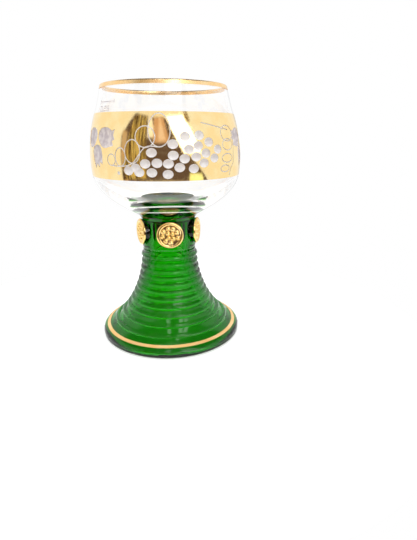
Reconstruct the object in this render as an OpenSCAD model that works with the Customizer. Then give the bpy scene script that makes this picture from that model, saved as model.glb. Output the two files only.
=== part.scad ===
// Roemer glass: a clear bowl with an engraved gold band, on a hollow ribbed green stem with gilded prunts.
// Millimetres. Z is up, the table is z = 0 and the glass stands on the Z axis. The front looks along -Y.

/* [Bowl] */
// Height of the rim above the table
glass_h = 146.3; // [138:0.1:160]
// Width across the rim
rim_d = 69.4; // [60:0.2:76]
// Width across the belly, where the bowl is widest
belly_d = 85.5; // [82:0.1:92]
// Height of the widest place above the bottom of the bowl
belly_h = 31.7; // [30:0.1:34]
// Radius of the belly's rounding from top to bottom
belly_round = 74.5; // [65:0.5:100]
// Width of the bowl's bottom, where it sits on the stem
joint_d = 35.6; // [34.4:0.2:40]
// Rise of the bowl's bottom from the level, in degrees
bottom_rise = 33.4; // [28:0.2:38]
// Thickness of the wall
wall = 1.5; // [1.2:0.1:2.4]
// Thickness of the bottom at its middle
bottom_t = 2.5; // [2:0.1:4]
// Height of the fill line above the bottom of the bowl
fill_h = 61; // [59:0.1:63]

/* [Gilding] */
// Thickness that stands for the gold layers
gold_t = 0.12; // [0.08:0.01:0.2]
// Height of the gold line below the rim
rim_gold_h = 1.5; // [1.5:0.1:5]
// Lower edge of the band above the bottom of the bowl
band_low = 23.6; // [22:0.1:25]
// Upper edge of the band above the bottom of the bowl
band_high = 56; // [55:0.1:57]
// Width of the gold line on the foot
foot_gold_w = 2; // [1:0.1:3]

/* [Engraving] */
// Width of a ground grape
grape_d = 4.9; // [4:0.1:5.6]
// Depth of the leaves and tendrils below the surface of the wall
cut_depth = 0.3; // [0.2:0.05:0.5]
// Width of the engraved lines
line_w = 0.8; // [0.5:0.05:1.2]
// Turn of the first bunch of grapes from the front, in degrees
motif_turn = 15; // [0:1:45]

/* [Stem] */
// Height of the stem, up to the bottom of the bowl
stem_h = 75.8; // [74:0.1:80]
// Width of the plain neck
neck_d = 32.6; // [31:0.2:34]
// Height of the neck's lower end above the table
neck_low = 54.5; // [52:0.1:55.5]
// Width across the foot
foot_d = 88; // [84:0.2:96]
// Width of the hollow inside the neck
bore_d = 17; // [14:0.5:22]
// Glass between the hollow and the bowl
crown_t = 3; // [3:0.1:8]
// How far the rounded ribs stand out
rib_h = 1.2; // [0.4:0.05:1.3]
// Radius of the ribs' rounding
rib_r = 1.7; // [1.6:0.1:2.6]
// How many ribs there are
rib_count = 11; // [8:1:13]

/* [Prunts] */
// Width of a prunt
prunt_d = 15.4; // [14.8:0.2:16.4]
// How far a prunt's face stands out from the neck
prunt_rise = 1.6; // [1.2:0.1:2.2]
// Height of the prunts' middles above the table
prunt_z = 65.8; // [64.6:0.1:66]
// Turn of the first prunt from the front, in degrees
prunt_turn = 7.7; // [0:0.1:36]

/* [Hidden] */
$fn = 96;
// Straight pieces that stand for one stretch of a curve, and for the long flare of the stem
steps = 6;
flare_steps = 18;
// More than any part reaches out, for cutters
reach = 60;
// Clearance between the gold layers and the glass
gold_gap = 0.05;

rim_r = rim_d / 2;
belly_r = belly_d / 2;
joint_r = joint_d / 2;
neck_r = neck_d / 2;
foot_r = foot_d / 2;
bore_r = bore_d / 2;
belly_z = stem_h + belly_h;

// How far the bowl's curves run on straight from their ends
bottom_pull = 6.9;
shoulder_pull = 12.9;
inside_pull = 20;
inside_shoulder_pull = 10;
// Lean of the wall at the rim, in degrees
rim_lean = 14.4;

function bezier(p, t) =
    pow(1 - t, 3) * p[0] + 3 * t * pow(1 - t, 2) * p[1] + 3 * t * t * (1 - t) * p[2] + pow(t, 3) * p[3];
function slope(p, t) =
    pow(1 - t, 2) * (p[1] - p[0]) + 2 * t * (1 - t) * (p[2] - p[1]) + t * t * (p[3] - p[2]);
// Unit vector to the right of a curve's way, which is outwards on a curve that climbs
function aside(p, t) = [slope(p, t)[1], -slope(p, t)[0]] / norm(slope(p, t));
// Points of a curve from one place on it to another, moved aside by d
function stretch(p, from, to, d = 0, pieces = steps) = [
    for (i = [0:pieces])
        let (t = from + (to - from) * i / pieces)
            bezier(p, t) + d * aside(p, t)
];
function reversed(points) = [for (i = [len(points) - 1:-1:0]) points[i]];
// A curve without its last point, to be followed by one that begins there
function without_last(points) = [for (i = [0:len(points) - 2]) points[i]];

// The belly is one arc between the edges of the band: its radius and upward way at a height, moved out by d
band_low_z = stem_h + band_low;
band_high_z = stem_h + band_high;
function belly_point(z, d = 0) =
    [belly_r - belly_round + sqrt(pow(belly_round + d, 2) - pow(z - belly_z, 2)), z];
function belly_way(z, d = 0) =
    let (part = (z - belly_z) / (belly_round + d))
        [-part, sqrt(1 - part * part)];

// Curves below and above the belly, on the outside and the inside of the wall
rim_way = [-sin(rim_lean), cos(rim_lean)];
rim_out = [cos(rim_lean), sin(rim_lean)];
rim_end = [rim_r, glass_h - wall / 2 * (1 - sin(rim_lean))];
function below_belly(start, way, pull, end_pull, d) = [
    start,
    start + pull * way,
    belly_point(band_low_z, d) - end_pull * belly_way(band_low_z, d),
    belly_point(band_low_z, d)
];
function above_belly(end, d) =
    let (start = belly_point(band_high_z, d), pull = norm(end - start) / 3)
        [start, start + pull * belly_way(band_high_z, d), end - pull * rim_way, end];
lower = below_belly([joint_r, stem_h], [cos(bottom_rise), sin(bottom_rise)], bottom_pull, shoulder_pull, 0);
lower_inside = below_belly([0, stem_h + bottom_t], [1, 0], inside_pull, inside_shoulder_pull, -wall);
upper = above_belly(rim_end, 0);
upper_inside = above_belly(rim_end - wall * rim_out, -wall);

// The gold line of the rim starts here on the upper curve and runs over the lip, moved out by d
rim_start = 1 - rim_gold_h / norm(rim_end - upper[0]);
function lip(d) = [
    for (i = [0:steps])
        let (a = 180 * i / steps)
            rim_end - wall / 2 * rim_out + (wall / 2 + d) * (cos(a) * rim_out + sin(a) * rim_way)
];
function rim_side(d) = concat(without_last(stretch(upper, rim_start, 1, d)), lip(d));

// The foot: its widest place, the bevel it stands on, the flat ring inside that, and its gold line
foot_edge_h = 3;
foot_round = 1;
foot_flat_w = 3.6;
foot_gold_in = 2.4;
foot_gold_z = 5.7;
// Fall of the flare at the gold line, in degrees, and how far the flare runs on straight from its ends
foot_fall = 17.6;
neck_pull = 25.5;
foot_pull = 11.4;
// The grooves between the ribs lie a little further in than the neck
groove_in = 0.2;

// Curves of the stem, from the neck down to the gold line and down to the edge of the hollow
groove_r = neck_r - groove_in;
foot_way = [cos(foot_fall), -sin(foot_fall)];
foot_line = [foot_r - foot_gold_in, foot_gold_z];
hollow_edge = [foot_r - foot_round - foot_flat_w, 0];
flare = [
    [groove_r, neck_low],
    [groove_r, neck_low - neck_pull],
    foot_line - foot_pull * foot_way,
    foot_line
];
hollow_flare = [
    [bore_r, neck_low],
    [bore_r, neck_low - neck_pull],
    hollow_edge - foot_pull * foot_way,
    hollow_edge
];
foot_edge = [
    foot_line,
    foot_line + foot_gold_in / 2 * foot_way,
    [foot_r, foot_edge_h + foot_gold_in / 2],
    [foot_r, foot_edge_h]
];
// The gold line lies on the last stretch of the flare
foot_gold_start = 1 - foot_gold_w / (3 * foot_pull);
function foot_side(d) = stretch(flare, foot_gold_start, 1, -d);

// Places of the ribs along the flare: evenly spaced at first, the last ones further apart
rib_first = 0.048;
rib_even = 0.576;
rib_spread = 0.178;
rib_growth = 5;
function rib_place(i) =
    let (part = i / (rib_count - 1))
        rib_first + rib_even * part + rib_spread * pow(part, rib_growth);

// The collar that widens to the bowl, the groove below the neck, and the rounding of the hollow's end
collar_h = 2.2;
neck_groove = 1;
neck_round = 1.6;
bore_round = 0.3;

// Prunts: a flat disc with a rounded border and a field of round bumps
prunt_count = 5;
prunt_r = prunt_d / 2;
border_r = 0.9;
bump_rise = 0.7;
// Bumps: how far to the right of the prunt's middle and above it, and radius, as parts of the prunt's radius
bumps = [
    [-0.5, 0.3, 0.19], [-0.14, 0.53, 0.16], [0.22, 0.48, 0.19], [0.51, 0.22, 0.17],
    [-0.57, -0.06, 0.16], [-0.16, 0.16, 0.17], [0.17, 0.11, 0.16], [-0.35, -0.41, 0.18],
    [-0.11, -0.17, 0.16], [0.23, -0.25, 0.19], [0.03, -0.55, 0.16], [0.57, -0.18, 0.16]
];

// Grapes of a bunch: turn from the middle of the motif and height above the bottom of the bowl
grapes = [
    [-35.3, 28.6], [-30, 29.9], [-27.7, 27.9], [-23.3, 32], [-18.9, 37.2], [-19.1, 27.8],
    [-15.5, 32.3], [-8.5, 27], [-8.1, 32], [-4.8, 35.9], [-4.8, 41.1], [-0.7, 30.2],
    [2.7, 34.3], [5.8, 38.7], [3.5, 44.6], [8.9, 29.5], [10.8, 35.1], [12.5, 40.2],
    [13.7, 45.1], [16.6, 32], [18.1, 36.7], [20.9, 41.9], [25.2, 34.2], [28.4, 38.4]
];
// Loops of the tendrils: turn, height, radius, and how far the cut leans from the wall's normal
loops = [
    [-13.1, 47.2, 6.3, 0], [-22.9, 44.5, 5, 0], [-32, 37.9, 4.7, 0],
    [-41.3, 35.1, 3.7, 0], [-48.9, 33.4, 2.5, 0],
    [39.7, 46.2, 3.2, 50], [39.2, 40.3, 2.7, 50], [36.1, 33.6, 1.9, 50], [36.3, 28.7, 1.4, 50]
];
// Lobes of a leaf, round its middle: the right upper one and the lower one, each toothed at its end
upper_lobe = [
    [0.7, 3.9], [1.6, 7.2], [4.4, 8.5], [8.7, 8.5], [12.1, 7], [14, 7.8], [13.1, 5],
    [14, 3], [12.4, 2.2], [13.1, -0.1], [7, -1.2], [3.5, 0]
];
lower_lobe = [
    [-0.6, 0.2], [3, -0.6], [4.6, -4.5], [4.4, -9.4], [2.2, -8.3], [1.4, -11.1],
    [-0.9, -9.1], [-3, -11.7], [-5, -7.1], [-5.6, -3.3], [-4.2, -0.8]
];
leaf_turn = 66.7;
leaf_h = 40.2;
motif_count = 2;
// Radius of the grinding ball
ball_r = 6;

// Fill mark: a line with end strokes over the figures, drawn with straight strokes
mark_turn = -45;
mark_w = 12;
mark_stroke = 0.35;
mark_tick = 1.6;
figure_h = 2.2;
figure_w = 1.5;
figure_low = 56.6;
mark_depth = 0.1;

green = [0.1, 0.5, 0.1, 0.7];
clear = [0.9, 0.93, 0.95, 0.4];
gold = [0.95, 0.75, 0.35];

// Children drawn flat around the origin, set up on the bowl's wall and run through it
module on_wall(turn, h, lean = 0) {
    rotate([0, 0, turn])
        translate([0, -belly_point(stem_h + h)[0], stem_h + h])
            rotate([90, 0, -lean])
                translate([0, 0, -reach / 4])
                    linear_extrude(reach / 2)
                        children();
}

// Half of the bowl's section at the belly, moved out by d, with a margin taken off its ends
module belly(d, margin = 0) {
    intersection() {
        translate([belly_r - belly_round, belly_z])
            circle(belly_round + d);
        translate([0, band_low_z + margin])
            square([reach, band_high_z - band_low_z - 2 * margin]);
    }
}

// Layer of the belly from the depth of the engraved lines to well outside it
module line_layer() {
    rotate_extrude()
        difference() {
            belly(reach / 20, line_w);
            belly(-cut_depth, line_w);
        }
}

module grape_cuts() {
    ball_out = ball_r - grape_d * grape_d / (8 * ball_r) - grape_d * grape_d / (8 * belly_r);
    for (grape = grapes)
        rotate([0, 0, grape[0]])
            translate([0, -belly_point(stem_h + grape[1])[0] - ball_out, stem_h + grape[1]])
                sphere(ball_r);
}

module ring(r) {
    difference() {
        circle(r + line_w / 2);
        circle(r - line_w / 2);
    }
}

module leaf() {
    polygon(upper_lobe);
    mirror([1, 0])
        polygon(upper_lobe);
    polygon(lower_lobe);
}

// The tendrils and leaves of one motif, run through the wall
module line_cuts() {
    for (l = loops)
        on_wall(l[0], l[1], l[3])
            ring(l[2]);
    for (side = [-1, 1])
        on_wall(side * leaf_turn, leaf_h)
            leaf();
}

// Children once for each motif round the bowl
module each_motif() {
    for (i = [0:motif_count - 1])
        rotate([0, 0, motif_turn + i * 360 / motif_count])
            children();
}

// What is ground out of the glass
module engraving() {
    each_motif() {
        grape_cuts();
        intersection() {
            line_cuts();
            line_layer();
        }
    }
}

// What is cut through the gold over it
module gold_openings() {
    each_motif() {
        for (grape = grapes)
            on_wall(grape[0], grape[1])
                circle(d = grape_d);
        line_cuts();
    }
}

// A straight stroke of the fill mark from a to b
module stroke(a, b) {
    along = b - a;
    translate(a)
        rotate(atan2(along[1], along[0]))
            translate([-mark_stroke / 2, -mark_stroke / 2])
                square([norm(along) + mark_stroke, mark_stroke]);
}

// Figures of the fill mark, as the corners that their strokes join
module figure(corners, x) {
    size = [figure_w, figure_h / 2];
    for (i = [0:len(corners) - 2])
        translate([x, 0])
            stroke([corners[i][0] * size[0], corners[i][1] * size[1]],
                   [corners[i + 1][0] * size[0], corners[i + 1][1] * size[1]]);
}

module fill_mark() {
    gap = figure_w + 3 * mark_stroke;
    translate([-mark_w / 2, fill_h - figure_low])
        stroke([0, 0], [mark_w, 0]);
    for (x = [-mark_w / 2, mark_w / 2])
        translate([x, fill_h - figure_low - mark_tick / 2])
            stroke([0, 0], [0, mark_tick]);
    translate([-2 * gap, 0]) {
        figure([[0, 0], [1, 0], [1, 2], [0, 2], [0, 0]], 0);
        figure([[0, 0.2], [0, -0.5]], gap);
        figure([[0, 2], [1, 2], [1, 1], [0, 1], [0, 0], [1, 0]], 1.5 * gap);
        figure([[1, 2], [0, 2], [0, 1], [1, 1], [1, 0], [0, 0]], 2.5 * gap);
    }
}

// The wall above the band, down to the depth of the fill mark
module mark_layer() {
    rotate_extrude()
        polygon(concat(
            stretch(upper, 0, rim_start, -mark_depth),
            reversed(stretch(upper, 0, rim_start, reach / 20))
        ));
}

module bowl_outline() {
    belly(0);
    polygon(concat([[0, stem_h]], stretch(lower, 0, 1), [[0, band_low_z]]));
    polygon(concat(without_last(stretch(upper, 0, rim_start)), rim_side(0), [[0, band_high_z]]));
}

module bowl_inside() {
    belly(-wall);
    polygon(concat(stretch(lower_inside, 0, 1), [[0, band_low_z]]));
    polygon(concat(stretch(upper_inside, 0, 1), [[0, glass_h], [0, band_high_z]]));
}

module bowl() {
    color(clear)
        difference() {
            rotate_extrude()
                difference() {
                    bowl_outline();
                    bowl_inside();
                }
            engraving();
            intersection() {
                on_wall(mark_turn, figure_low)
                    fill_mark();
                mark_layer();
            }
        }
}

module stem_outline() {
    polygon(concat(
        [[0, 0], [foot_r - foot_round, 0], [foot_r, foot_round]],
        without_last(reversed(stretch(foot_edge, 0, 1))),
        without_last(reversed(stretch(flare, foot_gold_start, 1))),
        reversed(stretch(flare, 0, foot_gold_start, 0, flare_steps)),
        [
            [neck_r - neck_groove, neck_low],
            [neck_r, neck_low + neck_round],
            [neck_r, stem_h - collar_h],
            [joint_r, stem_h],
            [0, stem_h]
        ]
    ));
    for (i = [0:rib_count - 1]) {
        t = rib_place(i);
        translate(bezier(flare, t) - (rib_h - rib_r) * aside(flare, t))
            circle(rib_r);
    }
}

module hollow_outline() {
    crown_z = stem_h - crown_t;
    polygon(concat(
        [[0, -1], hollow_edge - [0, 1]],
        reversed(stretch(hollow_flare, 0, 1, 0, flare_steps)),
        [[bore_r, crown_z - bore_round * bore_r], [bore_r / 2, crown_z - bore_round], [0, crown_z]]
    ));
}

module stem() {
    color(green)
        rotate_extrude()
            difference() {
                stem_outline();
                hollow_outline();
            }
}

// A prunt with its border and bumps, grown all over by d, before the neck is taken out of it
module prunt_shape(d) {
    face = neck_r + prunt_rise;
    translate([0, 0, prunt_z])
        rotate([90, 0, 0]) {
            rotate_extrude() {
                square([prunt_r - border_r / 4 + d, face - border_r / 2]);
                square([prunt_r - border_r, face + d]);
                translate([prunt_r - border_r, face - border_r / 2])
                    circle(border_r + d);
            }
            for (b = bumps * prunt_r)
                translate([b[0], b[1], face + bump_rise - b[2]])
                    sphere(b[2] + d);
        }
}

module neck_core() {
    cylinder(r = neck_r, h = stem_h);
}

module prunt(i) {
    color(green)
        rotate([0, 0, prunt_turn + i * 360 / prunt_count])
            difference() {
                prunt_shape(0);
                neck_core();
            }
}

// The gold lies on the face of a prunt and on the front half of its border
module prunt_gilding(i) {
    color(gold)
        rotate([0, 0, prunt_turn + i * 360 / prunt_count])
            difference() {
                prunt_shape(gold_gap + gold_t);
                prunt_shape(gold_gap);
                translate([0, 0, prunt_z])
                    rotate([90, 0, 0])
                        cylinder(r = prunt_d, h = neck_r + prunt_rise - border_r / 2);
            }
}

module rim_gilding() {
    color(gold)
        rotate_extrude()
            polygon(concat(rim_side(gold_gap), reversed(rim_side(gold_gap + gold_t))));
}

module band_gilding() {
    color(gold)
        difference() {
            rotate_extrude()
                difference() {
                    belly(gold_gap + gold_t);
                    belly(gold_gap);
                }
            gold_openings();
        }
}

module foot_gilding() {
    color(gold)
        rotate_extrude()
            polygon(concat(foot_side(gold_gap), reversed(foot_side(gold_gap + gold_t))));
}

bowl();
stem();
prunt(0);  // prunt_1
prunt(1);  // prunt_2
prunt(2);  // prunt_3
prunt(3);  // prunt_4
prunt(4);  // prunt_5
prunt_gilding(0);  // prunt_gilding_1
prunt_gilding(1);  // prunt_gilding_2
prunt_gilding(2);  // prunt_gilding_3
prunt_gilding(3);  // prunt_gilding_4
prunt_gilding(4);  // prunt_gilding_5
rim_gilding();
band_gilding();
foot_gilding();
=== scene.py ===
# Roemer glass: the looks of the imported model. Sizes are in millimetres and repeat those of its source.
from math import atan2, cos, degrees, hypot, pi, radians, sin, sqrt

import bmesh
import bpy
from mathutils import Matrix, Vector
from mathutils.geometry import delaunay_2d_cdt
from mathutils.kdtree import KDTree


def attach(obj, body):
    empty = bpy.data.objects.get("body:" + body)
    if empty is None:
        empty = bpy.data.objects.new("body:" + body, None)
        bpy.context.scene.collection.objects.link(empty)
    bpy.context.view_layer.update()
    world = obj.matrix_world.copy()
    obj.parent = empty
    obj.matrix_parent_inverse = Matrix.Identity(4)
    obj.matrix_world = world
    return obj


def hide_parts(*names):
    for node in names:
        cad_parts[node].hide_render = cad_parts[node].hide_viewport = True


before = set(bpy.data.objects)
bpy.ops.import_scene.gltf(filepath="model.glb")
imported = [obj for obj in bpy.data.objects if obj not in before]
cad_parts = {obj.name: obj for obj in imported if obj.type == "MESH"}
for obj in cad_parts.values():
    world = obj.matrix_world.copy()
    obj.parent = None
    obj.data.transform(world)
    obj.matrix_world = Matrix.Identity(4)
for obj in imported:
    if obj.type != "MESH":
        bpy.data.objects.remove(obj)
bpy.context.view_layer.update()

MM = 0.001

# Bowl
GLASS_H = 146.3
RIM_R = 34.7
RIM_LEAN = radians(14.4)
BELLY_R = 42.75
BELLY_Z = 107.5
BELLY_ROUND = 74.5
STEM_H = 75.8
JOINT_R = 17.8
JOINT_GAP = 0.01
BOTTOM_RISE = radians(33.4)
BOTTOM_T = 2.5
WALL = 1.5
BAND_LOW = 99.4
BAND_HIGH = 131.8
BOTTOM_PULL = 6.9
SHOULDER_PULL = 12.9
INSIDE_PULL = 20
INSIDE_SHOULDER_PULL = 10

# Gilding
GOLD_T = 0.12
GOLD_GAP = 0.05
RIM_GOLD_H = 1.5
FOOT_GOLD_W = 2

# Engraving: one motif faces the front, turned a little to the right, and one the back
MOTIF_TURN = 15
MOTIFS = 2
GRAPE_W = 5.3
GRAPE_H = 4.4
GRAPE_DEPTH = 0.85
LINE_W = 0.55
LINE_DEPTH = 0.2
LEAF_DEPTH = 0.7
LEAF_BEVEL = 2.5
LEAF_REACH = 16
DOT_R = 0.9
# Grapes of a bunch: turn from the middle of the motif and height above the bottom of the bowl
GRAPES = [
    (-35.3, 28.6), (-30, 29.9), (-27.7, 27.9), (-23.3, 32), (-18.9, 37.2), (-19.1, 27.8),
    (-15.5, 32.3), (-8.5, 27), (-8.1, 32), (-4.8, 35.9), (-4.8, 41.1), (-0.7, 30.2),
    (2.7, 34.3), (5.8, 38.7), (3.5, 44.6), (8.9, 29.5), (10.8, 35.1), (12.5, 40.2),
    (13.7, 45.1), (16.6, 32), (18.1, 36.7), (20.9, 41.9), (25.2, 34.2), (28.4, 38.4),
]
# Loops of the tendrils: turn, height, half width and half height
LEFT_LOOPS = [
    (-13.6, 47.5, 5.5, 7.6), (-23.1, 44.5, 5, 4.9), (-32.1, 37.7, 4.1, 5.5),
    (-41.3, 35, 3, 4.4), (-49.1, 33.5, 2.7, 2.7),
]
RIGHT_LOOPS = [
    (39.5, 46, 5.1, 3.8), (39.4, 40.5, 4.3, 2.8), (38.7, 33.8, 4.6, 2.2), (36.3, 28.6, 3.6, 1.7),
]
# Free lines and the single dot: turn and height
RIGHT_TAIL = [(45.8, 46), (46.9, 40.1), (46.9, 36.3), (46.6, 31.2), (43.4, 28.6), (42, 25.3)]
STALK = [(16.1, 51), (27.1, 49.5), (41.1, 47.7)]
DOT = (-43.3, 27.2)
# Leaves: two upper lobes that mirror each other and a lower one, in millimetres from the leaf's middle.
# Each lobe is a round line and then the teeth at its end.
LEAF_TURN = 64.8
LEAF_H = 40.2
UPPER_ROUND = [
    (13.1, -0.1), (10.4, -0.6), (7, -1.2), (3.5, 0), (0.7, 3.9),
    (1.6, 7.2), (4.4, 8.5), (8.7, 8.5), (12.1, 7),
]
UPPER_TEETH = [(14, 7.8), (13.1, 5), (14, 3), (12.4, 2.2)]
LOWER_ROUND = [(4.4, -9.4), (4.6, -4.5), (3, -0.6), (-0.6, 0.2), (-4.2, -0.8), (-5.6, -3.3), (-5, -7.1)]
LOWER_TEETH = [(-3, -11.7), (-0.9, -9.1), (1.4, -11.1), (2.2, -8.3)]

# Fill mark: a line with end strokes over the figures, each figure as the corners its strokes join
MARK_TURN = -45
MARK_H = 61
MARK_W = 12
MARK_STROKE = 0.35
MARK_TICK = 1.6
MARK_LOW = 0.005
MARK_HIGH = 0.03
FIGURE_H = 2.2
FIGURE_W = 1.5
FIGURE_LOW = 56.6
FIGURE_GAP = FIGURE_W + 3 * MARK_STROKE
ZERO = [(0, 0), (1, 0), (1, 2), (0, 2), (0, 0)]
COMMA = [(0, 0.2), (0, -0.5)]
TWO = [(0, 2), (1, 2), (1, 1), (0, 1), (0, 0), (1, 0)]
FIVE = [(1, 2), (0, 2), (0, 1), (1, 1), (1, 0), (0, 0)]
FIGURES = [(ZERO, -2), (COMMA, -1), (TWO, -0.5), (FIVE, 0.5)]

# Stem
NECK_R = 16.3
NECK_LOW = 54.5
NECK_GROOVE = 1
NECK_ROUND = 1.6
COLLAR_H = 2.2
GROOVE_R = 16.1
NECK_PULL = 25.5
FOOT_R = 44
FOOT_EDGE_H = 3
FOOT_ROUND = 1
FOOT_FLAT_W = 3.6
FOOT_GOLD_IN = 2.4
FOOT_GOLD_Z = 5.7
FOOT_FALL = radians(17.6)
FOOT_PULL = 11.4
BORE_R = 8.5
CROWN_T = 3
BORE_ROUND = 2.5
RIBS = 11
RIB_R = 1.7
RIB_H = 1.2
# Places of the ribs along the flare, which runs from 0 at its top to 1 at the gold line
RIB_FIRST = 0.048
RIB_EVEN = 0.576
RIB_SPREAD = 0.178
RIB_GROWTH = 5

# Prunts
PRUNTS = 5
PRUNT_TURN = 7.7
PRUNT_Z = 65.8
PRUNT_R = 7.7
PRUNT_RISE = 1.6
BORDER_R = 0.9
BUMP_RISE = 0.7
# Bumps: how far to the right of the prunt's middle and above it, and radius, as parts of the prunt's radius
BUMPS = [
    (-0.5, 0.3, 0.19), (-0.14, 0.53, 0.16), (0.22, 0.48, 0.19), (0.51, 0.22, 0.17),
    (-0.57, -0.06, 0.16), (-0.16, 0.16, 0.17), (0.17, 0.11, 0.16), (-0.35, -0.41, 0.18),
    (-0.11, -0.17, 0.16), (0.23, -0.25, 0.19), (0.03, -0.55, 0.16), (0.57, -0.18, 0.16),
]

# Fineness of the meshes: steps round the glass, along its curves and over its faces
TURNS = 288
CURVE_STEPS = 28
FLARE_STEPS = 320
BAND_ROWS = 24
NECK_ROWS = 44
PRUNT_TURNS = 128
FIELD_ROWS = 44
BORDER_ROWS = 12
BACK_ROWS = 10
# Steps round the ovals of the engraving, rings inside each as parts of its size, and steps along its lines
OVAL_TURNS = 40
OVAL_RINGS = (0.3, 0.6, 0.85)
RING_TURNS = 16
LOOP_TURNS = 56
LINK_STEPS = 12
FREE_STEPS = 16
LEAF_STEPS = 5
# Spaces between points along the outlines of the leaves and the fill mark, and where depths are measured from
LEAF_SPACE = 0.5
MARK_SPACE = 0.5
LINE_DEPTH_SPACE = 0.1
LEAF_DEPTH_SPACE = 0.2
# Points closer than this become one, on the glass and on the fill mark, and rows as small as this close up
MERGE = 0.002
MARK_MERGE = 0.0005
POINT_R = 0.001

# How strongly each glass bends light, and the colour that the green one gives to it
CLEAR_IOR = 1.5
GREEN_IOR = 1.42
GREEN_COLOUR = (0.42, 0.89, 0.1, 1)
GREEN_DENSITY = 600

# What gold and glass mirror. Straight behind the glass, where the Y part of a direction is near 1, the white
# studio is a little darker, and above the given elevations in degrees it has a dark ceiling.
WHITE = (1, 1, 1, 1)
BACK_WALL = (0.75, 0.75, 0.75, 1)
BACK_WALL_Y = (0.85, 0.98)
CEILING = (0.12, 0.12, 0.12, 1)
CEILING_RISE = (40, 47)
# Patches of the room, each over those before it: edges, as patch() takes them, and colour (None: a curtain)
DARK = (0.13, 0.09, 0.085, 1)
CURTAIN_DEEP = (0.07, 0.04, 0.025, 1)
CURTAIN_LIGHT = (0.72, 0.56, 0.22, 1)
ROOM = [
    # Windows high in front
    ((-11, 1, 0, 0, 43, 78), (3, 3, 3, 1)),
    ((28, 39, 0, 0, 43, 82), (4, 4, 4, 1)),
    ((43, 54, 0, 0, 43, 82), (4, 4, 4, 1)),
    # The dark part of the room
    ((-63, 34, 0, 1.6, -19, 6), DARK),
    ((-63, 21, 0, 0.8, 5, 17), DARK),
    ((-46, 6, -0.9, 0.8, 16, 35), DARK),
    # From left to right: brown post, curtain, pale strip, brown panel with a light stripe, bright window,
    # dark strip, and a pale strip low down
    ((-62, -54, 0, 0, -19, 20), (0.62, 0.46, 0.33, 1)),
    ((-44, -24, -0.4, 0, -16, 35), None),
    ((-22, -17, 0, 0.5, 18, 35), (1.2, 1.2, 1.3, 1)),
    ((-13, 3, 0, 0.4, 14, 35), (0.7, 0.45, 0.33, 1)),
    ((-5, -2, 0, 0.4, 16, 35), (0.95, 0.72, 0.62, 1)),
    ((7, 36, 0.8, 0.7, 5, 36), (4.5, 4.5, 4.5, 1)),
    ((38, 44, 0, 0.3, 30, 40), (0.35, 0.26, 0.15, 1)),
    ((40, 60, 0, 0.6, -19, -12), (1.2, 1.3, 0.75, 1)),
]

# Light on matt surfaces: strength below and above, and the elevations in degrees between which it grows
LIGHT = (0.1, 1.6)
LIGHT_RISE = (-60, 60)

# Table, just below the standing ring, and the width in which its glow fades under the edge of the foot, which
# paints a shadow below the foot
TABLE_R = 165
TABLE_Z = -0.2
TABLE_COLOUR = (0.75, 0.75, 0.75, 1)
TABLE_GLOW = 0.45
FOOT_SHADOW_FADE = 6

# Camera: place, degrees that it looks down, and focal length and height of the picture in pixels
CAMERA_PLACE = (24.57, -242.19, 122.59)
CAMERA_DOWN = 19.12
FOCAL_PIXELS = 399.2
FRAME_PIXELS = 540
SENSOR_H = 36
CLIP_START = 10

# Places in the lists of materials of the bowl and of the green pieces
CLEAR, GROUND, LEAF, JOIN = range(4)
GREEN, GREEN_JOIN = range(2)

# Places of the colours among the sockets of a mix node
MIX_A = 6
MIX_B = 7
MIX_RESULT = 2


def place(turn, r, z):
    """Point of the glass in metres, from a turn in degrees off the front, a radius and a height."""
    a = radians(turn)
    return Vector((r * sin(a), -r * cos(a), z)) * MM


def bezier(p, t):
    """Point of a curve with four control points, at t from 0 to 1."""
    s = 1 - t
    return p[0] * s ** 3 + p[1] * (3 * t * s * s) + p[2] * (3 * t * t * s) + p[3] * t ** 3


def slope(p, t):
    """Direction of such a curve, not of unit length."""
    s = 1 - t
    return (p[1] - p[0]) * (s * s) + (p[2] - p[1]) * (2 * t * s) + (p[3] - p[2]) * (t * t)


def aside(p, t):
    """Unit vector to the right of a curve's way, which is outwards on a curve that climbs."""
    way = slope(p, t).normalized()
    return Vector((way.y, -way.x))


def stretch(p, start, end, steps, d=0):
    """Points of a curve from one place on it to another, moved aside by d."""
    places = [start + (end - start) * i / steps for i in range(steps + 1)]
    return [bezier(p, t) + aside(p, t) * d for t in places]


def through(points, steps):
    """Points of a smooth line through the given ones."""
    points = [Vector(p) for p in points]
    ends = [points[0] * 2 - points[1]] + points + [points[-1] * 2 - points[-2]]
    line = []
    for i in range(len(points) - 1):
        a, b, c, d = ends[i:i + 4]
        curve = [b, b + (c - a) / 6, c - (d - b) / 6, c]
        line += [bezier(curve, k / steps) for k in range(steps)]
    return line + [points[-1]]


def belly_point(z, d=0):
    """Point of the belly's round outline, grown by d, at a height."""
    return Vector((BELLY_R - BELLY_ROUND + sqrt((BELLY_ROUND + d) ** 2 - (z - BELLY_Z) ** 2), z))


def belly_way(z, d=0):
    """Direction of that outline upwards."""
    part = (z - BELLY_Z) / (BELLY_ROUND + d)
    return Vector((-part, sqrt(1 - part * part)))


def below_belly(start, way, pull, end_pull, d):
    """Curve from the bottom of the bowl up to the belly."""
    end = belly_point(BAND_LOW, d)
    return [start, start + way * pull, end - belly_way(BAND_LOW, d) * end_pull, end]


def above_belly(end, d):
    """Curve from the belly up to the rim."""
    start = belly_point(BAND_HIGH, d)
    pull = (end - start).length / 3
    return [start, start + belly_way(BAND_HIGH, d) * pull, end - RIM_WAY * pull, end]


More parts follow.
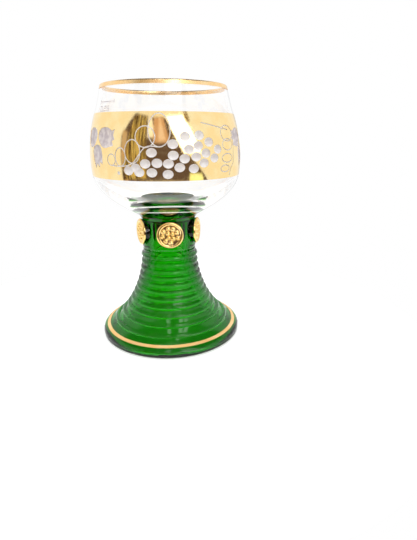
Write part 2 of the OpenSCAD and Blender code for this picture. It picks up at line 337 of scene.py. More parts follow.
RIM_WAY = Vector((-sin(RIM_LEAN), cos(RIM_LEAN)))
RIM_OUT = Vector((cos(RIM_LEAN), sin(RIM_LEAN)))
RIM_END = Vector((RIM_R, GLASS_H - WALL / 2 * (1 - sin(RIM_LEAN))))
BOTTOM_WAY = Vector((cos(BOTTOM_RISE), sin(BOTTOM_RISE)))
LOWER = below_belly(Vector((JOINT_R, STEM_H)), BOTTOM_WAY, BOTTOM_PULL, SHOULDER_PULL, 0)
LOWER_INSIDE = below_belly(
    Vector((0, STEM_H + BOTTOM_T)), Vector((1, 0)), INSIDE_PULL, INSIDE_SHOULDER_PULL, -WALL)
UPPER = above_belly(RIM_END, 0)
UPPER_INSIDE = above_belly(RIM_END - RIM_OUT * WALL, -WALL)
RIM_START = 1 - RIM_GOLD_H / (RIM_END - UPPER[0]).length

FOOT_WAY = Vector((cos(FOOT_FALL), -sin(FOOT_FALL)))
FOOT_LINE = Vector((FOOT_R - FOOT_GOLD_IN, FOOT_GOLD_Z))
HOLLOW_EDGE = Vector((FOOT_R - FOOT_ROUND - FOOT_FLAT_W, 0))
FLARE = [
    Vector((GROOVE_R, NECK_LOW)),
    Vector((GROOVE_R, NECK_LOW - NECK_PULL)),
    FOOT_LINE - FOOT_WAY * FOOT_PULL,
    FOOT_LINE,
]
HOLLOW_FLARE = [
    Vector((BORE_R, NECK_LOW)),
    Vector((BORE_R, NECK_LOW - NECK_PULL)),
    HOLLOW_EDGE - FOOT_WAY * FOOT_PULL,
    HOLLOW_EDGE,
]
FOOT_EDGE = [
    FOOT_LINE,
    FOOT_LINE + FOOT_WAY * (FOOT_GOLD_IN / 2),
    Vector((FOOT_R, FOOT_EDGE_H + FOOT_GOLD_IN / 2)),
    Vector((FOOT_R, FOOT_EDGE_H)),
]
CROWN_Z = STEM_H - CROWN_T
CROWN = [
    Vector((BORE_R, CROWN_Z - BORE_ROUND)),
    Vector((BORE_R, CROWN_Z - BORE_ROUND / 3)),
    Vector((BORE_R / 2, CROWN_Z)),
    Vector((0, CROWN_Z)),
]


def lip(d):
    """Half circle over the rim, from the outside to the inside, moved out by d."""
    middle = RIM_END - RIM_OUT * (WALL / 2)
    angles = [pi * i / CURVE_STEPS for i in range(CURVE_STEPS + 1)]
    return [middle + (RIM_OUT * cos(a) + RIM_WAY * sin(a)) * (WALL / 2 + d) for a in angles]


class Skin:
    """Faces that are gathered piece by piece and become one mesh object."""

    def __init__(self):
        self.points = []
        self.faces = []
        self.kinds = []

    def add(self, points, faces, kind=0):
        """Adds points, and faces between them that have one kind of material."""
        start = len(self.points)
        self.points += points
        self.faces += [[start + i for i in face] for face in faces]
        self.kinds += [kind] * len(faces)

    def revolve(self, profile, kind=0, closed=False):
        """Turns a profile of (radius, height) points round the axis, in step with the columns of the band."""
        points = []
        rings = []
        for p in profile:
            count = TURNS if p.x > 0 else 1
            rings.append([len(points) + k % count for k in range(TURNS)])
            points += [place(MOTIF_TURN + 360 * k / TURNS, p.x, p.y) for k in range(count)]
        if closed:
            rings.append(rings[0])
        faces = []
        for low, high in zip(rings, rings[1:]):
            for k in range(TURNS):
                n = (k + 1) % TURNS
                corners = [low[k], low[n], high[n], high[k]]
                faces.append(list(dict.fromkeys(corners)))
        self.add(points, faces, kind)

    def rows(self, rows, kind=0):
        """Joins closed rows of points, one after the other."""
        count = len(rows[0])
        faces = []
        for i in range(len(rows) - 1):
            for k in range(count):
                n = (k + 1) % count
                faces.append((i * count + k, i * count + n, (i + 1) * count + n, (i + 1) * count + k))
        self.add([p for row in rows for p in row], faces, kind)

    def piece(self, name, materials, merge=MERGE, sharp=35):
        """Makes the object: seams closed, faces turned outwards, smooth but for edges over sharp degrees."""
        mesh = bpy.data.meshes.new(name)
        mesh.from_pydata(self.points, [], self.faces)
        mesh.polygons.foreach_set("material_index", self.kinds)
        bm = bmesh.new()
        bm.from_mesh(mesh)
        bmesh.ops.remove_doubles(bm, verts=bm.verts, dist=merge * MM)
        bmesh.ops.recalc_face_normals(bm, faces=bm.faces)
        for face in bm.faces:
            face.smooth = True
        for edge in bm.edges:
            kinds = {face.material_index for face in edge.link_faces}
            edge.smooth = len(kinds) == 1 and edge.calc_face_angle(0) < radians(sharp)
        bm.to_mesh(mesh)
        bm.free()
        for material in materials:
            mesh.materials.append(material)
        piece = bpy.data.objects.new(name, mesh)
        bpy.context.collection.objects.link(piece)
        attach(piece, "root")
        return piece


def belly_normal(point):
    """Direction straight out of the belly's wall at a point in metres."""
    rise = (point.z / MM - BELLY_Z) / BELLY_ROUND
    flat = sqrt(1 - rise * rise) / hypot(point.x, point.y)
    return Vector((point.x * flat, point.y * flat, rise))


def round_as_belly(piece):
    """Shades the faces that follow the belly as its true curve, whatever triangles stand for it."""
    along_wall = 0.95
    mesh = piece.data
    normals = [corner.vector.copy() for corner in mesh.corner_normals]
    for face in mesh.polygons:
        in_band = BAND_LOW * MM < face.center.z < BAND_HIGH * MM
        facing = face.normal.dot(belly_normal(face.center)) if in_band else 0
        if face.material_index in (GROUND, LEAF) or abs(facing) < along_wall:
            continue
        for corner in face.loop_indices:
            point = mesh.vertices[mesh.loops[corner].vertex_index].co
            normals[corner] = belly_normal(point) * (1 if facing > 0 else -1)
    mesh.normals_split_custom_set(normals)


# Engraving, drawn flat: x runs along the belly in millimetres from the motif's middle, y is the height


def flat_point(turn, h):
    """Point of the drawing, from a turn off the motif's middle and a height above the bowl's bottom."""
    return Vector((radians(turn) * BELLY_R, STEM_H + h))


def oval(middle, half_w, half_h, count):
    """Points round an oval."""
    angles = [2 * pi * i / count for i in range(count)]
    return [middle + Vector((half_w * cos(a), half_h * sin(a))) for a in angles]


def tendrils():
    """Lines of the tendrils: the loops, the line that links the left ones, and the free lines."""
    lines = []
    for turn, h, half_w, half_h in LEFT_LOOPS + RIGHT_LOOPS:
        ring = oval(flat_point(turn, h), half_w, half_h, LOOP_TURNS)
        lines.append(ring + ring[:1])
    bottoms = [flat_point(turn, h - half_h) for turn, h, _, half_h in LEFT_LOOPS]
    lines.append(through(bottoms, LINK_STEPS))
    for points in (RIGHT_TAIL, STALK):
        lines.append(through([flat_point(*p) for p in points], FREE_STEPS))
    return lines


def leaf(turn, h):
    """Outlines of a leaf's lobes."""
    middle = flat_point(turn, h)
    upper = through(UPPER_ROUND, LEAF_STEPS) + [Vector(p) for p in UPPER_TEETH]
    lower = through(LOWER_ROUND, LEAF_STEPS) + [Vector(p) for p in LOWER_TEETH]
    mirrored = [Vector((-p.x, p.y)) for p in upper]
    return [[middle + p for p in outline] for outline in (upper, mirrored, lower)]


def finer(line, spacing):
    """Points all along a line, its own among them, about the spacing apart or closer."""
    points = []
    for a, b in zip(line, line[1:]):
        count = max(1, round((b - a).length / spacing))
        points += [a.lerp(b, i / count) for i in range(count)]
    return points + line[-1:]


def dense(outline, spacing):
    """Points all along a closed outline."""
    return finer(outline + outline[:1], spacing)[:-1]


def tree_of(points):
    """Search tree over points of the drawing."""
    tree = KDTree(len(points))
    for i, p in enumerate(points):
        tree.insert((p.x, p.y, 0), i)
    tree.balance()
    return tree


def distance(tree, p):
    """Distance from a place to the nearest point of a search tree."""
    return tree.find((p.x, p.y, 0))[2]


def inside(outline, p):
    """True if a closed outline runs round the point."""
    odd = False
    for a, b in zip(outline, outline[1:] + outline[:1]):
        if (a.y > p.y) != (b.y > p.y):
            if p.x < a.x + (b.x - a.x) * (p.y - a.y) / (b.y - a.y):
                odd = not odd
    return odd


class Engraving:
    """The flat drawing of one motif and the depth that is ground out at each of its points."""

    def __init__(self):
        self.ovals = [(flat_point(*g), GRAPE_W / 2, GRAPE_H / 2, GRAPE_DEPTH) for g in GRAPES]
        self.ovals.append((flat_point(*DOT), DOT_R, DOT_R, LINE_DEPTH))
        self.lines = tendrils()
        self.lobes = [o for side in (-1, 1) for o in leaf(side * LEAF_TURN, LEAF_H)]
        self.line_tree = tree_of([p for line in self.lines for p in finer(line, LINE_DEPTH_SPACE)])
        self.lobe_trees = [tree_of(dense(o, LEAF_DEPTH_SPACE)) for o in self.lobes]

    def depth(self, p):
        """Depth at a point and the kind of surface there."""
        deepest = 0
        kind = CLEAR
        for middle, half_w, half_h, depth in self.ovals:
            off = p - middle
            part = (off.x / half_w) ** 2 + (off.y / half_h) ** 2
            deepest = max(deepest, depth * (1 - part))
        part = distance(self.line_tree, p) / (LINE_W / 2)
        deepest = max(deepest, LINE_DEPTH * (1 - part * part))
        if deepest > 0:
            kind = GROUND
        for outline, tree in zip(self.lobes, self.lobe_trees):
            if abs(p.x - outline[0].x) < LEAF_REACH and inside(outline, p):
                deepest = max(deepest, LEAF_DEPTH * min(1, distance(tree, p) / LEAF_BEVEL))
                kind = LEAF
        return deepest, kind

    def drawing(self):
        """Points and lines that the triangles of the wall have to keep to."""
        points = []
        edges = []

        def draw(line, closed):
            start = len(points)
            points.extend(line)
            last = len(line) if closed else len(line) - 1
            edges.extend((start + i, start + (i + 1) % len(line)) for i in range(last))

        for middle, half_w, half_h, _ in self.ovals:
            draw(oval(middle, half_w, half_h, OVAL_TURNS), True)
            for part in OVAL_RINGS:
                points.extend(oval(middle, half_w * part, half_h * part, RING_TURNS))
        for outline in self.lobes:
            draw(dense(outline, LEAF_SPACE), True)
        for line in self.lines:
            for side in (-1, 0, 1):
                draw(beside(line, side * LINE_W / 2), False)
        return points, edges


def beside(line, d):
    """A line moved to its side by d."""
    moved = []
    for i, p in enumerate(line):
        way = (line[min(i + 1, len(line) - 1)] - line[max(i - 1, 0)]).normalized()
        moved.append(p + Vector((way.y, -way.x)) * d)
    return moved


def band_plan():
    """The band of one motif as flat triangles, with the points' depths and the triangles' kinds."""
    engraving = Engraving()
    points, edges = engraving.drawing()
    half = 180 / MOTIFS
    columns = TURNS // MOTIFS
    for row in range(BAND_ROWS + 1):
        z = BAND_LOW + (BAND_HIGH - BAND_LOW) * row / BAND_ROWS
        for column in range(columns + 1):
            points.append(flat_point(-half + 2 * half * column / columns, z - STEM_H))
    all_triangles = 0
    nearest = 1e-4
    points, _, faces, _, _, _ = delaunay_2d_cdt(points, edges, [], all_triangles, nearest)
    depths = [engraving.depth(p)[0] for p in points]
    kinds = []
    for face in faces:
        middle = sum((points[i] for i in face), Vector((0, 0))) / 3
        kinds.append(engraving.depth(middle)[1])
    return points, faces, depths, kinds


def on_belly(p, motif, d):
    """A point of the flat band, set on the belly of the given motif and moved out by d."""
    q = belly_point(p.y)
    way = belly_way(p.y)
    q += Vector((way.y, -way.x)) * d
    return place(MOTIF_TURN + motif * 360 / MOTIFS + degrees(p.x / BELLY_R), q.x, q.y)


def make_bowl(plan, materials):
    """The clear bowl, from its fused bottom over the engraved wall and the lip to its inside."""
    skin = Skin()
    lift = Vector((0, JOINT_GAP))
    skin.revolve([Vector((0, STEM_H)) + lift, Vector((JOINT_R, STEM_H)) + lift], JOIN)
    skin.revolve([LOWER[0] + lift] + stretch(LOWER, 0, 1, CURVE_STEPS)[1:], CLEAR)
    points, faces, depths, kinds = plan
    for motif in range(MOTIFS):
        wall = [on_belly(p, motif, -depth) for p, depth in zip(points, depths)]
        for kind in (CLEAR, GROUND, LEAF):
            skin.add(wall, [f for f, k in zip(faces, kinds) if k == kind], kind)
    rows = [BAND_HIGH + (BAND_LOW - BAND_HIGH) * i / CURVE_STEPS for i in range(CURVE_STEPS + 1)]
    skin.revolve(
        stretch(UPPER, 0, 1, CURVE_STEPS) + lip(0)[1:]
        + stretch(UPPER_INSIDE, 1, 0, CURVE_STEPS)[1:]
        + [belly_point(z, -WALL) for z in rows[1:]]
        + stretch(LOWER_INSIDE, 1, 0, 2 * CURVE_STEPS)[1:], CLEAR)
    bowl = skin.piece("bowl_glass", materials)
    round_as_belly(bowl)
    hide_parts("bowl")


def open_edges(triangles):
    """Edges that only one of the triangles has."""
    edges = set()
    for a, b, c in triangles:
        for edge in ((a, b), (b, c), (c, a)):
            if edge[::-1] in edges:
                edges.remove(edge[::-1])
            else:
                edges.add(edge)
    return sorted(edges)


def make_band(plan, material):
    """The gold of the band as a thin closed shell with the engraving left open."""
    points, faces, _, kinds = plan
    gold = [face for face, kind in zip(faces, kinds) if kind == CLEAR]
    count = len(points)
    seam = radians(180 / MOTIFS) * BELLY_R - MERGE / 2
    backs = [face[::-1] for face in gold]
    fronts = [[count + i for i in face] for face in gold]
    walls = [
        (a, b, count + b, count + a) for a, b in open_edges(gold)
        if min(abs(points[a].x), abs(points[b].x)) < seam
    ]
    skin = Skin()
    for motif in range(MOTIFS):
        inner = [on_belly(p, motif, GOLD_GAP) for p in points]
        outer = [on_belly(p, motif, GOLD_GAP + GOLD_T) for p in points]
        skin.add(inner + outer, backs + fronts + walls)
    band = skin.piece("band_gold", [material])
    round_as_belly(band)
    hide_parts("band_gilding")


def rim_side(d):
    """Outline of the gilded lip, moved out by d."""
    return stretch(UPPER, RIM_START, 1, CURVE_STEPS, d) + lip(d)[1:]


def foot_side(d):
    """Outline of the gilded line on the foot, moved out by d."""
    return stretch(FLARE, 1 - FOOT_GOLD_W / (3 * FOOT_PULL), 1, CURVE_STEPS, -d)


def make_gold_ring(name, node, side, material):
    """A gold line round the glass: a thin layer over the given stretch of its outline."""
    skin = Skin()
    skin.revolve(side(GOLD_GAP) + side(GOLD_GAP + GOLD_T)[::-1], closed=True)
    ring = skin.piece(name, [material])
    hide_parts(node)


def rib_middles():
    """Middles of the round ribs: evenly spaced at first, the last ones further apart."""
    middles = []
    for i in range(RIBS):
        part = i / (RIBS - 1)
        t = RIB_FIRST + RIB_EVEN * part + RIB_SPREAD * part ** RIB_GROWTH
        middles.append(bezier(FLARE, t) - aside(FLARE, t) * (RIB_H - RIB_R))
    return middles


def ribbed_flare():
    """The flare's outline with the ribs standing out of it, from the foot up."""
    middles = rib_middles()
    outline = []
    for i in range(FLARE_STEPS + 1):
        t = 1 - i / FLARE_STEPS
        p = bezier(FLARE, t)
        out = -aside(FLARE, t)
        stand = 0
        for middle in middles:
            along = (middle - p).dot(out)
            room = RIB_R ** 2 - (middle - p).length_squared + along ** 2
            if room > 0:
                stand = max(stand, along + sqrt(room))
        outline.append(p + out * stand)
    return outline


def under_prunt(p):
    """True where a point of the neck's surface is fused with a prunt."""
    neck_wall = 0.1
    if abs(hypot(p.x, p.y) - NECK_R) > neck_wall:
        return False
    apart = 360 / PRUNTS
    off = (degrees(atan2(p.x, -p.y)) - PRUNT_TURN + apart / 2) % apart - apart / 2
    return hypot(NECK_R * sin(radians(off)), p.z - PRUNT_Z) < PRUNT_R - BORDER_R / 2


def neck():
    """The neck's outline, from the groove above the ribs up to the bowl."""
    low = NECK_LOW + NECK_ROUND
    high = STEM_H - COLLAR_H
    outline = [
        Vector((NECK_R - NECK_GROOVE, NECK_LOW)),
        Vector((NECK_R - NECK_GROOVE / 3, NECK_LOW + NECK_ROUND / 3)),
    ]
    for i in range(NECK_ROWS + 1):
        outline.append(Vector((NECK_R, low + (high - low) * i / NECK_ROWS)))
    return outline + [Vector((JOINT_R, STEM_H))]


def make_stem(materials):
    """The green stem, from the crown of its hollow over the foot and the ribs up to the bowl."""
    skin = Skin()
    skin.revolve(
        stretch(CROWN, 1, 0, CURVE_STEPS)
        + stretch(HOLLOW_FLARE, 0, 1, 2 * CURVE_STEPS)
        + [Vector((FOOT_R - FOOT_ROUND, 0)), Vector((FOOT_R, FOOT_ROUND))]
        + stretch(FOOT_EDGE, 1, 0, CURVE_STEPS)
        + ribbed_flare()[1:] + neck())
    skin.revolve([Vector((JOINT_R, STEM_H)), Vector((0, STEM_H))], GREEN_JOIN)
    stem = skin.piece("stem_glass", materials)
    for face in stem.data.polygons:
        if under_prunt(face.center / MM):
            face.material_index = GREEN_JOIN
    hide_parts("stem")


def prunt_face(p, d):
    """Distance from the axis of a prunt's face, grown by d, at a place on it."""
    face = NECK_R + PRUNT_RISE
    off = p.length
    border = PRUNT_R - BORDER_R
    out = face + d if off < border else face - BORDER_R / 2
    room = (BORDER_R + d) ** 2 - (off - border) ** 2
    if room > 0:
        out = max(out, face - BORDER_R / 2 + sqrt(room))
    for x, y, part in BUMPS:
        bump_r = part * PRUNT_R
        room = (bump_r + d) ** 2 - (p - Vector((x, y)) * PRUNT_R).length_squared
        if room > 0:
            out = max(out, face + BUMP_RISE - bump_r + sqrt(room))
    return out


def prunt_row(number, r, out):
    """Points of a circle on a prunt, each as far out from the axis as the given function says."""
    a = radians(PRUNT_TURN + number * 360 / PRUNTS)
    across = Vector((cos(a), sin(a), 0))
    away = Vector((sin(a), -cos(a), 0))
    middle = Vector((0, 0, PRUNT_Z))
    circle = oval(Vector((0, 0)), r, r, PRUNT_TURNS)
    return [(middle + across * p.x + away * out(p) + Vector((0, 0, p.y))) * MM for p in circle]


def prunt_front(number, d):
    """Rows of a prunt's face from its middle to the widest place of its border, grown by d."""
    field = PRUNT_R - BORDER_R
    radii = [POINT_R] + [field * i / FIELD_ROWS for i in range(1, FIELD_ROWS + 1)]
    angles = [pi / 2 * i / BORDER_ROWS for i in range(1, BORDER_ROWS + 1)]
    radii += [field + (BORDER_R + d) * sin(a) for a in angles]
    return [prunt_row(number, r, lambda p: prunt_face(p, d)) for r in radii]


def neck_face(p):
    """Distance from the axis of the neck behind a place on a prunt."""
    return sqrt((NECK_R + JOINT_GAP) ** 2 - p.x ** 2)


def make_prunt(number, materials):
    """A round seal of green glass fused to the neck."""
    wall_r = PRUNT_R - BORDER_R / 4
    wall = prunt_row(number, wall_r, lambda p: NECK_R + PRUNT_RISE - BORDER_R / 2)
    back_radii = [wall_r * (1 - i / BACK_ROWS) for i in range(BACK_ROWS)] + [POINT_R]
    back = [prunt_row(number, r, neck_face) for r in back_radii]
    skin = Skin()
    skin.rows(prunt_front(number, 0) + [wall] + back[:1], GREEN)
    skin.rows(back, GREEN_JOIN)
    body = skin.piece(f"prunt_glass_{number + 1}", materials)
    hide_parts(f"prunt_{number + 1}")


def make_prunt_gold(number, gold):
    """The gold on the stamped face of a prunt."""
    skin = Skin()
    skin.rows(prunt_front(number, GOLD_GAP) + prunt_front(number, GOLD_GAP + GOLD_T)[::-1])
    seal = skin.piece(f"prunt_gold_{number + 1}", [gold])
    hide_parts(f"prunt_gilding_{number + 1}")


def above_band(x, h, d):
    """A point on the wall above the band, x millimetres along it from the fill mark's middle.
    Its height is found by halving the stretch of the wall that it lies in."""
    halvings = 40
    low = 0
    high = 1
    for _ in range(halvings):
        t = (low + high) / 2
        if bezier(UPPER, t).y < STEM_H + h:
            low = t
        else:
            high = t
    p = bezier(UPPER, t) + aside(UPPER, t) * d
    return place(MARK_TURN + degrees(x / p.x), p.x, p.y)


def mark_strokes():
    """Both ends of each stroke of the fill mark: its line, the end strokes, and the figures below."""
    half = MARK_W / 2
    strokes = [[(-half, MARK_H), (half, MARK_H)]]
    strokes += [[(x, MARK_H - MARK_TICK / 2), (x, MARK_H + MARK_TICK / 2)] for x in (-half, half)]
    for corners, step in FIGURES:
        figure = [
            (step * FIGURE_GAP + x * FIGURE_W, FIGURE_LOW + y * FIGURE_H / 2) for x, y in corners]
        strokes += list(zip(figure, figure[1:]))
    return strokes


def make_fill_mark(material):
    """The etched measure as thin matt strips on the wall."""
    skin = Skin()
    for a, b in mark_strokes():
        way = (Vector(b) - Vector(a)).normalized() * (MARK_STROKE / 2)
        side = Vector((way.y, -way.x))
        rows = []
        for p in finer([Vector(a) - way, Vector(b) + way], MARK_SPACE):
            corners = [
                (p - side, MARK_LOW), (p + side, MARK_LOW), (p + side, MARK_HIGH), (p - side, MARK_HIGH)]
            rows.append([above_band(q.x, q.y, d) for q, d in corners])
        skin.rows(rows)
        skin.add(rows[0] + rows[-1], [(0, 1, 2, 3), (4, 5, 6, 7)])
    mark = skin.piece("fill_mark", [material], merge=MARK_MERGE)


def link(tree, value, socket):
    """Sets a socket to a number, or joins it to another socket."""
    if isinstance(value, bpy.types.NodeSocket):
        tree.links.new(value, socket)
    else:
        socket.default_value = value


def calculate(tree, operation, *values):
    """Result of an operation on numbers or sockets."""
    node = tree.nodes.new("ShaderNodeMath")
    node.operation = operation
    for value, socket in zip(values, node.inputs):
        link(tree, value, socket)
    return node.outputs[0]


def ramp(tree, value, low, high, to_low=0.0, to_high=1.0):
    """A value taken smoothly from one range to another."""
    node = tree.nodes.new("ShaderNodeMapRange")
    node.interpolation_type = "SMOOTHSTEP"
    for item, socket in zip((value, low, high, to_low, to_high), node.inputs):
        link(tree, item, socket)
    return node.outputs[0]


def mix(tree, part, a, b):
    """A colour between a and b."""
    node = tree.nodes.new("ShaderNodeMix")
    node.data_type = "RGBA"
    link(tree, part, node.inputs["Factor"])
    link(tree, a, node.inputs[MIX_A])
    link(tree, b, node.inputs[MIX_B])
    return node.outputs[MIX_RESULT]


def noise(tree, size, detail=2):
    """Soft spots of about the given size in millimetres, from 0 to 1."""
    spot = tree.nodes.new("ShaderNodeTexCoord")
    node = tree.nodes.new("ShaderNodeTexNoise")
    node.inputs["Scale"].default_value = 1 / (size * MM)
    node.inputs["Detail"].default_value = detail
    tree.links.new(spot.outputs["Object"], node.inputs["Vector"])
    return node.outputs["Fac"]


def bump(tree, shader, height, depth):
    """Roughens a surface by the given depth in millimetres."""
    node = tree.nodes.new("ShaderNodeBump")
    node.inputs["Strength"].default_value = 1
    node.inputs["Distance"].default_value = depth * MM
    tree.links.new(height, node.inputs["Height"])
    tree.links.new(node.outputs["Normal"], shader.inputs["Normal"])


def new_material(name):
    """A material, its node tree and its main shader."""
    material = bpy.data.materials.new(name)
    material.use_nodes = True
    tree = material.node_tree
    return material, tree, tree.nodes["Principled BSDF"]


def glass_material(name, ior):
    """Blown glass: a faint unevenness and a trace of haze."""
    material, tree, shader = new_material(name)
    shader.inputs["Base Color"].default_value = WHITE
    shader.inputs["Transmission Weight"].default_value = 1
    shader.inputs["IOR"].default_value = ior
    haze = ramp(tree, noise(tree, size=9), low=0.4, high=0.8, to_low=0, to_high=0.02)
    tree.links.new(haze, shader.inputs["Roughness"])
    bump(tree, shader, noise(tree, size=14, detail=0), depth=0.02)
    return material, tree


def green_material(name, ior):
    """Glass that takes up other light than green."""
    material, tree = glass_material(name, ior)
    volume = tree.nodes.new("ShaderNodeVolumeAbsorption")
    volume.inputs["Color"].default_value = GREEN_COLOUR
    volume.inputs["Density"].default_value = GREEN_DENSITY
    tree.links.new(volume.outputs["Volume"], tree.nodes["Material Output"].inputs["Volume"])
    return material


def ground_material(name, deep, light):
    """Matt glass where the engraver's wheel has cut it."""
    material, tree, shader = new_material(name)
    tone = ramp(tree, noise(tree, size=2.5), low=0.3, high=0.7)
    tree.links.new(mix(tree, tone, deep, light), shader.inputs["Base Color"])
    grain = ramp(tree, noise(tree, size=0.5), low=0.2, high=0.8, to_low=0.45, to_high=0.7)
    tree.links.new(grain, shader.inputs["Roughness"])
    shader.inputs["Transmission Weight"].default_value = 0.25
    shader.inputs["IOR"].default_value = CLEAR_IOR
    bump(tree, shader, noise(tree, size=0.35, detail=3), depth=0.02)
    return material


def gold_material(name, light, deep, wave, dull=0.05, metal=1):
    """Gold, paler and duller in soft patches. It is burnished, or matt where it is less of a metal."""
    material, tree, shader = new_material(name)
    tone = ramp(tree, noise(tree, size=6), low=0.35, high=0.7)
    tree.links.new(mix(tree, tone, deep, light), shader.inputs["Base Color"])
    shader.inputs["Metallic"].default_value = metal
    wear = ramp(tree, noise(tree, size=1.2), low=0.3, high=0.75, to_low=dull, to_high=dull + 0.08)
    tree.links.new(wear, shader.inputs["Roughness"])
    bump(tree, shader, noise(tree, size=5, detail=1), depth=wave)
    return material


def make_pieces():
    """All materials and all pieces of the glass."""
    clear, _ = glass_material("clear_glass", CLEAR_IOR)
    join, _ = glass_material("fused_join", CLEAR_IOR / GREEN_IOR)
    green = green_material("green_glass", GREEN_IOR)
    green_join = green_material("fused_green_join", 1)
    ground = ground_material("ground_glass", (0.86, 0.8, 0.79, 1), (0.97, 0.94, 0.93, 1))
    # A darker copy of the ground glass: ground glass like that of the grapes, with painted shade on the
    # leaves' lobes
    ground_with_painted_shade = ground_material("ground_leaf_painted_shade", (0.6, 0.52, 0.54, 1), (0.92, 0.84, 0.82, 1))
    gold = gold_material("band_gold", (1, 0.8, 0.42, 1), (1, 0.74, 0.34, 1), wave=0.02)
    prunt_gold = gold_material("prunt_gold", (1, 0.72, 0.32, 1), (0.9, 0.6, 0.2, 1), wave=0.08)
    rim_gold = gold_material("rim_gold", (1, 0.74, 0.4, 1), (1, 0.66, 0.3, 1), wave=0.02, dull=0.25)
    foot_gold = gold_material(
        "foot_gold", (1, 0.66, 0.3, 1), (0.95, 0.56, 0.2, 1), wave=0.02, dull=0.35, metal=0.3)
    plan = band_plan()
    make_bowl(plan, [clear, ground, ground_with_painted_shade, join])
    make_band(plan, gold)
    make_gold_ring("rim_gold", "rim_gilding", rim_side, rim_gold)
    make_gold_ring("foot_gold", "foot_gilding", foot_side, foot_gold)
    make_stem([green, green_join])
    for number in range(PRUNTS):
        make_prunt(number, [green, green_join])
        make_prunt_gold(number, prunt_gold)
    # The fill mark gets the darker ground glass with its painted shade too
    make_fill_mark(ground_with_painted_shade)


def patch(tree, azimuth, elevation, edges, soft=1.5):
    """1 inside a patch of the surroundings and 0 outside it. Its edges are given in degrees:
    left and right at its top, how far these move to the right for each degree down, low and high."""
    left, right, left_lean, right_lean, low, high = edges
    down = calculate(tree, "SUBTRACT", high, elevation)
    left_move = calculate(tree, "MULTIPLY", down, left_lean)
    right_move = calculate(tree, "MULTIPLY", down, right_lean)
    sides = [
        ramp(tree, calculate(tree, "SUBTRACT", azimuth, left_move), left - soft, left + soft),
        ramp(tree, calculate(tree, "SUBTRACT", azimuth, right_move), right + soft, right - soft),
        ramp(tree, elevation, low - soft, low + soft),
        ramp(tree, elevation, high + soft, high - soft),
    ]
    part = sides[0]
    for side in sides[1:]:
        part = calculate(tree, "MULTIPLY", part, side)
    return part


def directions(tree):
    """Directions of the surroundings: degrees to the right of the front, degrees up, and the Y part."""
    way = tree.nodes.new("ShaderNodeTexCoord")
    parts = tree.nodes.new("ShaderNodeSeparateXYZ")
    tree.links.new(way.outputs["Generated"], parts.inputs[0])
    x, y, z = parts.outputs
    front = calculate(tree, "MULTIPLY", y, -1)
    azimuth = calculate(tree, "DEGREES", calculate(tree, "ARCTAN2", x, front))
    elevation = calculate(tree, "DEGREES", calculate(tree, "ARCSINE", z))
    return azimuth, elevation, y


def curtain_colour(tree, azimuth, elevation):
    """Colour of a curtain with folds that hang down."""
    down_to_across = 0.1
    spot = tree.nodes.new("ShaderNodeCombineXYZ")
    tree.links.new(azimuth, spot.inputs["X"])
    tree.links.new(calculate(tree, "MULTIPLY", elevation, down_to_across), spot.inputs["Y"])
    folds = tree.nodes.new("ShaderNodeTexNoise")
    folds.inputs["Scale"].default_value = 0.4
    folds.inputs["Detail"].default_value = 3
    tree.links.new(spot.outputs["Vector"], folds.inputs["Vector"])
    fold = ramp(tree, folds.outputs["Fac"], low=0.38, high=0.62)
    return mix(tree, fold, CURTAIN_DEEP, CURTAIN_LIGHT)


def mirrored_room(tree, azimuth, elevation, y):
    """Colours that gold and glass mirror."""
    mirrored = mix(tree, ramp(tree, y, *BACK_WALL_Y), WHITE, BACK_WALL)
    mirrored = mix(tree, ramp(tree, elevation, *CEILING_RISE), mirrored, CEILING)
    curtain = curtain_colour(tree, azimuth, elevation)
    for edges, colour in ROOM:
        part = patch(tree, azimuth, elevation, edges)
        mirrored = mix(tree, part, mirrored, curtain if colour is None else colour)
    return mirrored


def make_world():
    """White studio, in which bright surfaces mirror a room and matt ones get most light from above."""
    world = bpy.data.worlds.new("studio")
    bpy.context.scene.world = world
    world.use_nodes = True
    tree = world.node_tree
    azimuth, elevation, y = directions(tree)
    light = tree.nodes.new("ShaderNodeLightPath")
    shade = ramp(tree, elevation, *LIGHT_RISE, *LIGHT)
    lamp = mix(tree, light.outputs["Is Diffuse Ray"], WHITE, shade)
    glossy = light.outputs["Is Glossy Ray"]
    bounced = calculate(tree, "MULTIPLY", glossy, light.outputs["Is Reflection Ray"])
    colour = mix(tree, bounced, lamp, mirrored_room(tree, azimuth, elevation, y))
    tree.links.new(colour, tree.nodes["Background"].inputs["Color"])


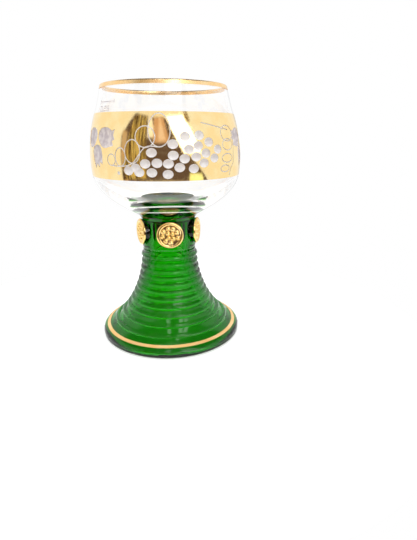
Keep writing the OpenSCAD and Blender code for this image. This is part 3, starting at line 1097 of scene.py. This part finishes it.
def table_material():
    """Matt white with a glow where it is seen. Below the foot the glow fades out: a painted shadow, where
    only light through the glass falls on it.
    """
    material, tree, shader = new_material("white_table")
    shader.inputs["Base Color"].default_value = TABLE_COLOUR
    shader.inputs["Roughness"].default_value = 1
    shader.inputs["Specular IOR Level"].default_value = 0
    shader.inputs["Emission Color"].default_value = WHITE
    light = tree.nodes.new("ShaderNodeLightPath")
    seen = calculate(tree, "MAXIMUM", light.outputs["Is Camera Ray"], light.outputs["Is Transmission Ray"])
    seen = calculate(tree, "MAXIMUM", seen, light.outputs["Is Glossy Ray"])
    spot = tree.nodes.new("ShaderNodeTexCoord")
    away = tree.nodes.new("ShaderNodeVectorMath")
    away.operation = "LENGTH"
    tree.links.new(spot.outputs["Object"], away.inputs[0])
    # Painted shadow: the glow is taken away below the foot.
    outside_painted_shadow = ramp(tree, away.outputs["Value"], (FOOT_R - FOOT_SHADOW_FADE) * MM, FOOT_R * MM)
    glow = calculate(tree, "MULTIPLY", calculate(tree, "MULTIPLY", seen, outside_painted_shadow), TABLE_GLOW)
    tree.links.new(glow, shader.inputs["Emission Strength"])
    return material


def make_floor():
    """Round table that keeps the shadow of the glass."""
    edge = [place(360 * k / TURNS, TABLE_R, TABLE_Z) for k in range(TURNS)]
    mesh = bpy.data.meshes.new("floor")
    mesh.from_pydata(edge, [], [list(range(TURNS))])
    mesh.materials.append(table_material())
    floor = bpy.data.objects.new("floor", mesh)
    bpy.context.collection.objects.link(floor)


def make_camera():
    """The photograph's view: close, a little right of the glass and looking down."""
    camera = bpy.data.cameras.new("camera")
    camera.sensor_fit = "VERTICAL"
    camera.sensor_height = SENSOR_H
    camera.lens = SENSOR_H * FOCAL_PIXELS / FRAME_PIXELS
    camera.clip_start = CLIP_START * MM
    holder = bpy.data.objects.new("camera", camera)
    holder.location = Vector(CAMERA_PLACE) * MM
    holder.rotation_euler = (radians(90 - CAMERA_DOWN), 0, 0)
    bpy.context.collection.objects.link(holder)
    bpy.context.scene.camera = holder


def see_deep():
    """Lets light find its way out of the thick bottom of the bowl."""
    bounces = 48
    cycles = bpy.context.scene.cycles
    cycles.max_bounces = bounces
    cycles.glossy_bounces = bounces
    cycles.transmission_bounces = bounces


make_pieces()
see_deep()
make_world()
make_floor()
make_camera()
bpy.context.scene.view_settings.view_transform = "Standard"
